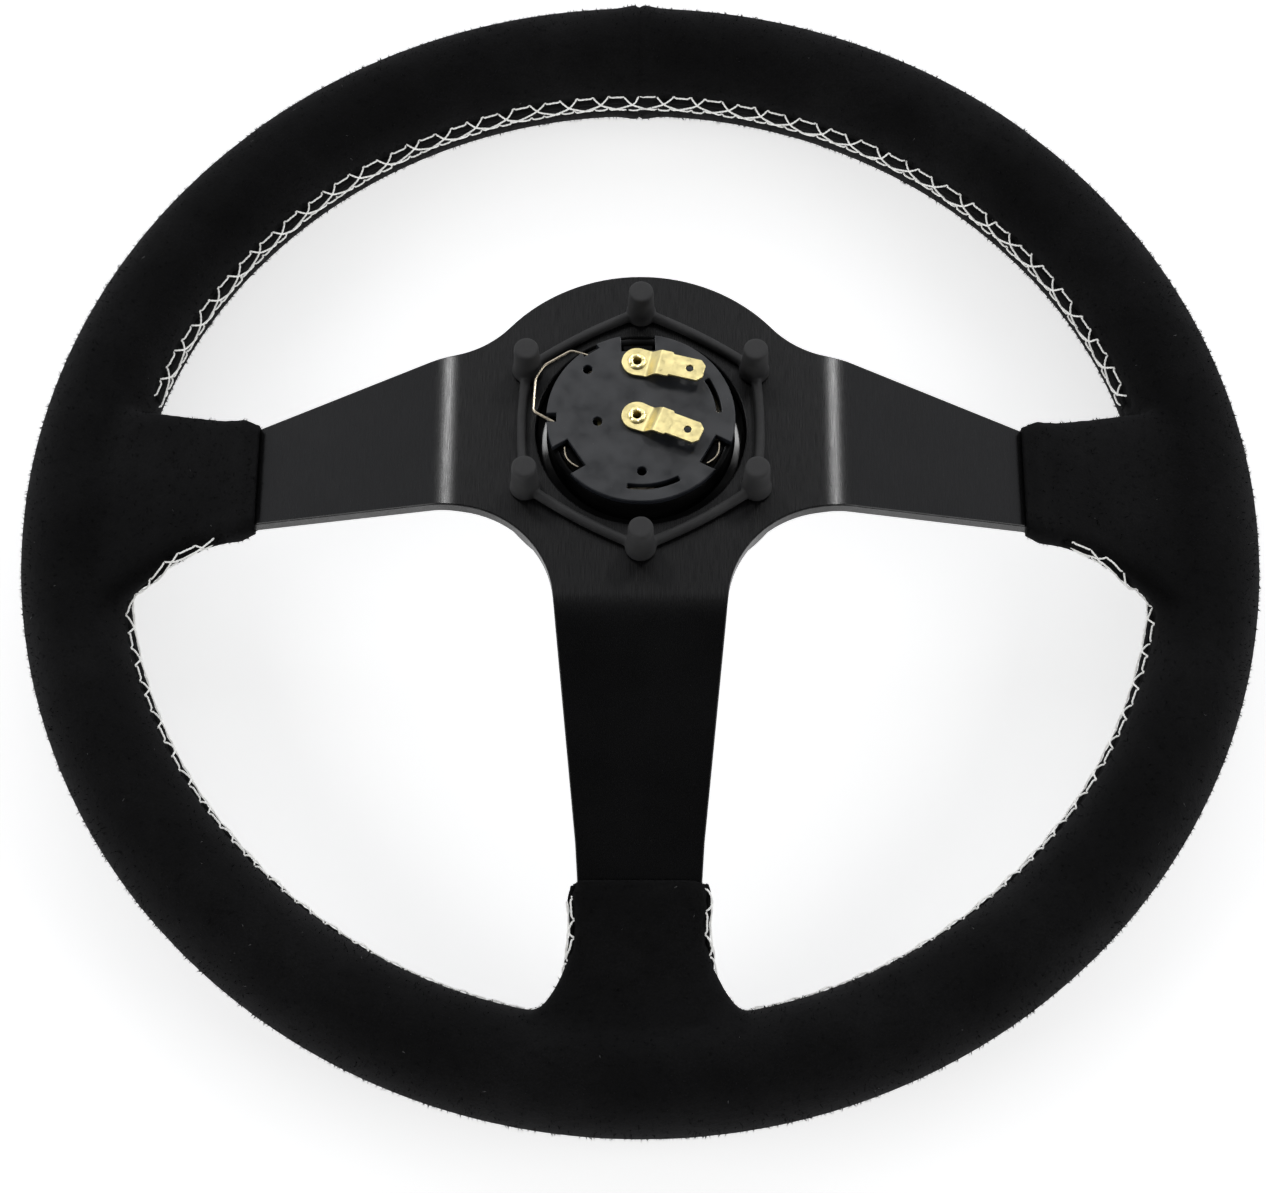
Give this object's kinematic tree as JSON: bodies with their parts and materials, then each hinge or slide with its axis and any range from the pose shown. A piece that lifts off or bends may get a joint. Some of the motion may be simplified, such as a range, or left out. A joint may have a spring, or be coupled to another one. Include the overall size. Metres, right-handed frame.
{
  "type": "steering wheel",
  "caption": "Dished suede-covered competition steering wheel with a folded spoke frame, sprung horn button and a rubber screw retainer.",
  "frame": {"origin": "on the steering axis, in the plane of the rim's front face, on which the wheel lies", "axes": "+Z along the steering axis towards the column, +Y to 12 o'clock, +X to the right seen from the column side"},
  "size_m": [0.35, 0.35, 0.0925],
  "materials": {
    "suede": "matte napped suede",
    "foam": "matte",
    "thread": "twisted thread",
    "anodised": "black anodised, brushed",
    "aluminium": "satin",
    "steel": "bright",
    "black_steel": "black oxide",
    "rubber": "matte",
    "plastic": "gloss",
    "horn_base": "satin",
    "brass": "bright"
  },
  "bodies": {
    "wheel": {"spoke_frame": "anodised", "rim_core_ring": "aluminium", "rim_foam": "foam", "suede_cover": "suede", "stitching_top": "thread", "stitching_lower_left": "thread", "stitching_lower_right": "thread", "trim_ring": "anodised", "horn_cup": "plastic", "horn_base": "horn_base", "wire_clip": "steel", "horn_spring": "steel", "fixed_contact": "brass", "terminal_upper": "brass", "terminal_centre": "brass", "eyelet_upper": "brass", "eyelet_centre": "brass", "spoke_rivet_right_1": "aluminium", "spoke_rivet_right_2": "aluminium", "spoke_rivet_left_1": "aluminium", "spoke_rivet_left_2": "aluminium", "spoke_rivet_lower_1": "aluminium", "spoke_rivet_lower_2": "aluminium", "hub_screw_1": "black_steel", "hub_screw_2": "black_steel", "hub_screw_3": "black_steel", "hub_screw_4": "black_steel", "hub_screw_5": "black_steel", "hub_screw_6": "black_steel"},
    "horn_button": {"horn_cap": "plastic", "horn_emblem_disc": "anodised", "horn_emblem_ring": "aluminium", "moving_contact": "steel"},
    "retainer": {"screw_retainer": "rubber"}
  },
  "joints": [
    {"name": "horn_press", "type": "slide", "parent": "wheel", "child": "horn_button", "axis": [0, 0, 1], "range_m": [0, 0.0025], "stiffness_N_per_m": 900, "springref_m": -0.003, "deforming": ["horn_spring"]},
    {"name": "retainer_pull", "type": "slide", "parent": "wheel", "child": "retainer", "axis": [0, 0, 1], "range_m": [0, 0.015]}
  ]
}
